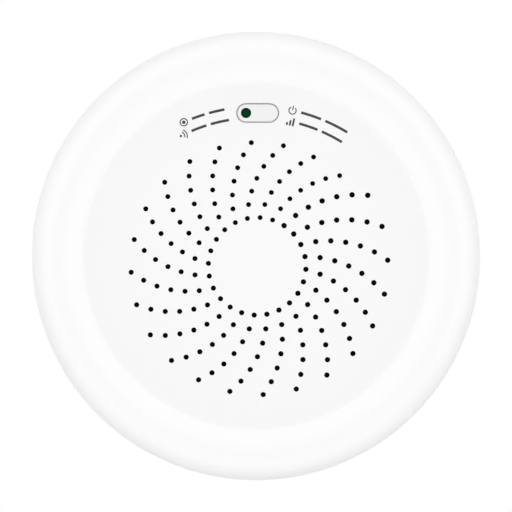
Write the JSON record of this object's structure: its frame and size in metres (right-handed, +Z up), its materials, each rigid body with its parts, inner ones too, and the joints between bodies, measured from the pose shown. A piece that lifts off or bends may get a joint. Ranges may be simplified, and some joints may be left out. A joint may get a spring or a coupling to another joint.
{
  "type": "carbon monoxide detector",
  "caption": "Round wall carbon monoxide alarm: domed rim, recessed perforated face, test button with light, battery bay and twist-off bracket.",
  "frame": {"origin": "centre of the detector on the wall plane, which is the back of the mounting bracket", "axes": "+Y points into the wall, so the face looks along -Y; +Z is up, towards the test button; +X is to the right of someone in front of it"},
  "size_m": [0.107, 0.036, 0.107],
  "materials": {
    "cover_white": "satin moulded, fine texture",
    "housing_white": "satin moulded, fine texture",
    "bracket_white": "matt moulded",
    "door_white": "matt moulded",
    "button_white": "smooth moulded",
    "green_lens": "clear tinted, unlit",
    "black_parts": "matt moulded",
    "dark_mesh": "fine woven screen",
    "green_board": "solder mask",
    "sensor_can": "drawn can",
    "horn_black": "matt moulded",
    "piezo_brass": "rolled sheet",
    "piezo_white": "fired",
    "led_white": "clear cast",
    "capacitor_sleeve": "shrunk sleeve",
    "coil_copper": "wound enamelled wire",
    "battery_jacket": "printed jacket",
    "spring_steel": "nickel plated",
    "screw_steel": "zinc plated"
  },
  "bodies": {
    "wall_bracket": {"mounting_bracket": "bracket_white"},
    "detector": {"rear_housing": "housing_white", "front_cover": "cover_white", "insect_screen": "dark_mesh", "circuit_board": "green_board", "co_sensor_body": "sensor_can", "co_sensor_cap": "black_parts", "horn_cup": "horn_black", "piezo_disc": "piezo_brass", "piezo_ceramic": "piezo_white", "test_switch": "black_parts", "status_led": "led_white", "microcontroller": "black_parts", "buffer_capacitor": "capacitor_sleeve", "horn_coil": "coil_copper", "board_screw_1": "screw_steel", "board_screw_2": "screw_steel", "board_screw_3": "screw_steel", "case_screw_1": "screw_steel", "case_screw_2": "screw_steel", "case_screw_3": "screw_steel", "battery_1": "battery_jacket", "battery_2": "battery_jacket", "contact_bridge": "spring_steel", "contact_positive": "spring_steel", "contact_negative": "spring_steel"},
    "battery_door": {"battery_door": "door_white"},
    "test_button": {"test_button": "button_white", "light_pipe": "green_lens", "switch_plunger": "black_parts"}
  },
  "joints": [
    {"name": "bracket_twist", "type": "hinge", "parent": "wall_bracket", "child": "detector", "pos_m": [0, 0, 0], "axis": [0, -1, 0], "range_deg": [0, 18]},
    {"name": "test_button_press", "type": "slide", "parent": "detector", "child": "test_button", "axis": [0, 1, 0], "range_m": [0, 0.0008], "stiffness_N_per_m": 1800, "springref_m": -0.0003},
    {"name": "battery_door_hinge", "type": "hinge", "parent": "detector", "child": "battery_door", "pos_m": [0, -0.0055, 0.01685], "axis": [1, 0, 0], "range_deg": [0, 95]}
  ]
}
